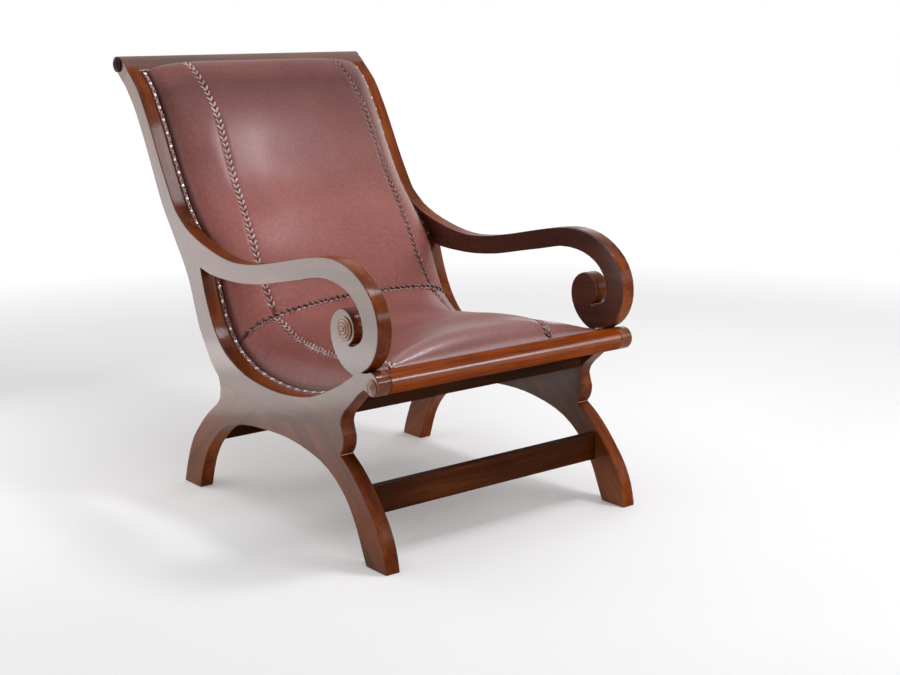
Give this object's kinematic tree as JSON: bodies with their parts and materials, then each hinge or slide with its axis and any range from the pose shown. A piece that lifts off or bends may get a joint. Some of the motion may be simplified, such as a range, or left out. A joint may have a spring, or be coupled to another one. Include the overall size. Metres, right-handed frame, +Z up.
{
  "type": "planters chair",
  "caption": "Reclined lounge chair with scrolled arms, arched crossed-curve side frames, round front rail and a stuffed, lace-seamed leather seat and back.",
  "frame": {"origin": "centre of the bounding box, on the floor", "axes": "+Z up, the sitter faces -Y, +X to the right as seen from in front"},
  "size_m": [0.7016, 1.0949, 1.0099],
  "materials": {
    "frame_wood": "polished, red-brown, close grain",
    "turned_wood": "polished, dark, turned rings",
    "slat_wood": "plain sawn, unpolished",
    "leather": "smooth, soft sheen",
    "edge_leather": "laced edge band"
  },
  "bodies": {
    "root": {"back_post_left": "frame_wood", "arm_left": "frame_wood", "seat_rail_left": "frame_wood", "front_leg_left": "frame_wood", "rear_leg_left": "frame_wood", "back_post_right": "frame_wood", "arm_right": "frame_wood", "seat_rail_right": "frame_wood", "front_leg_right": "frame_wood", "rear_leg_right": "frame_wood", "crest_rail": "frame_wood", "front_rail": "frame_wood", "front_apron": "frame_wood", "front_stretcher": "frame_wood", "rear_stretcher": "frame_wood", "crest_rosette_left": "turned_wood", "nose_rosette_left": "turned_wood", "scroll_rosette_left": "turned_wood", "crest_rosette_right": "turned_wood", "nose_rosette_right": "turned_wood", "scroll_rosette_right": "turned_wood", "back_slat_1": "slat_wood", "back_slat_2": "slat_wood", "back_slat_3": "slat_wood", "back_slat_4": "slat_wood", "back_slat_5": "slat_wood", "seat_slat_1": "slat_wood", "seat_slat_2": "slat_wood", "seat_slat_3": "slat_wood", "seat_slat_4": "slat_wood", "seat_slat_5": "slat_wood", "crest_dowel_left": "slat_wood", "arm_dowel_left": "slat_wood", "scroll_dowel_left": "slat_wood", "front_leg_dowel_left": "slat_wood", "rear_leg_dowel_left": "slat_wood", "arch_dowel_left": "slat_wood", "crest_dowel_right": "slat_wood", "arm_dowel_right": "slat_wood", "scroll_dowel_right": "slat_wood", "front_leg_dowel_right": "slat_wood", "rear_leg_dowel_right": "slat_wood", "arch_dowel_right": "slat_wood", "edge_lacing_left": "edge_leather", "edge_lacing_right": "edge_leather", "back_leather": "leather", "seat_leather": "leather"}
  },
  "joints": []
}
